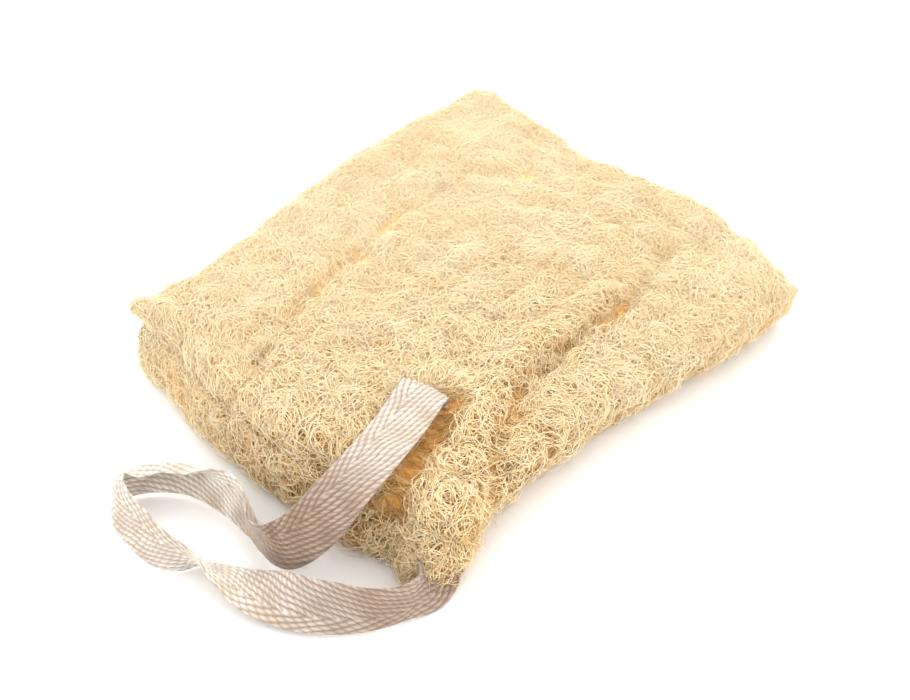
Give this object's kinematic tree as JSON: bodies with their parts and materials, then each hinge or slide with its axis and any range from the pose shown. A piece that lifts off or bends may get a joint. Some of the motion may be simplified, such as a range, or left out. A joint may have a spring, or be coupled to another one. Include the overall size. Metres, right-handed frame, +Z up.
{
  "type": "loofah back scrubber",
  "caption": "Flattened natural loofah sponge pad with a hanging loop of woven cotton herringbone tape, for scrubbing skin.",
  "frame": {"origin": "on the resting plane, under the centre of the pad's bounding box, without the hanging tape", "axes": "+Z up, +Y along the gourd towards the end without the tape, +X across the gourd towards the rolled side"},
  "size_m": [0.1545, 0.2166, 0.0319],
  "materials": {
    "loofah": "dry matt plant fibre",
    "tape": "unbleached cotton, herringbone weave",
    "thread": "cotton sewing thread"
  },
  "bodies": {
    "root": {"loofah_lower_wall": "loofah", "loofah_upper_wall": "loofah", "loofah_rolled_side": "loofah", "loofah_core": "loofah", "hanging_tape": "tape", "tape_upper_tail": "tape", "tape_lower_tail": "tape", "join_stitches": "thread"}
  },
  "joints": []
}
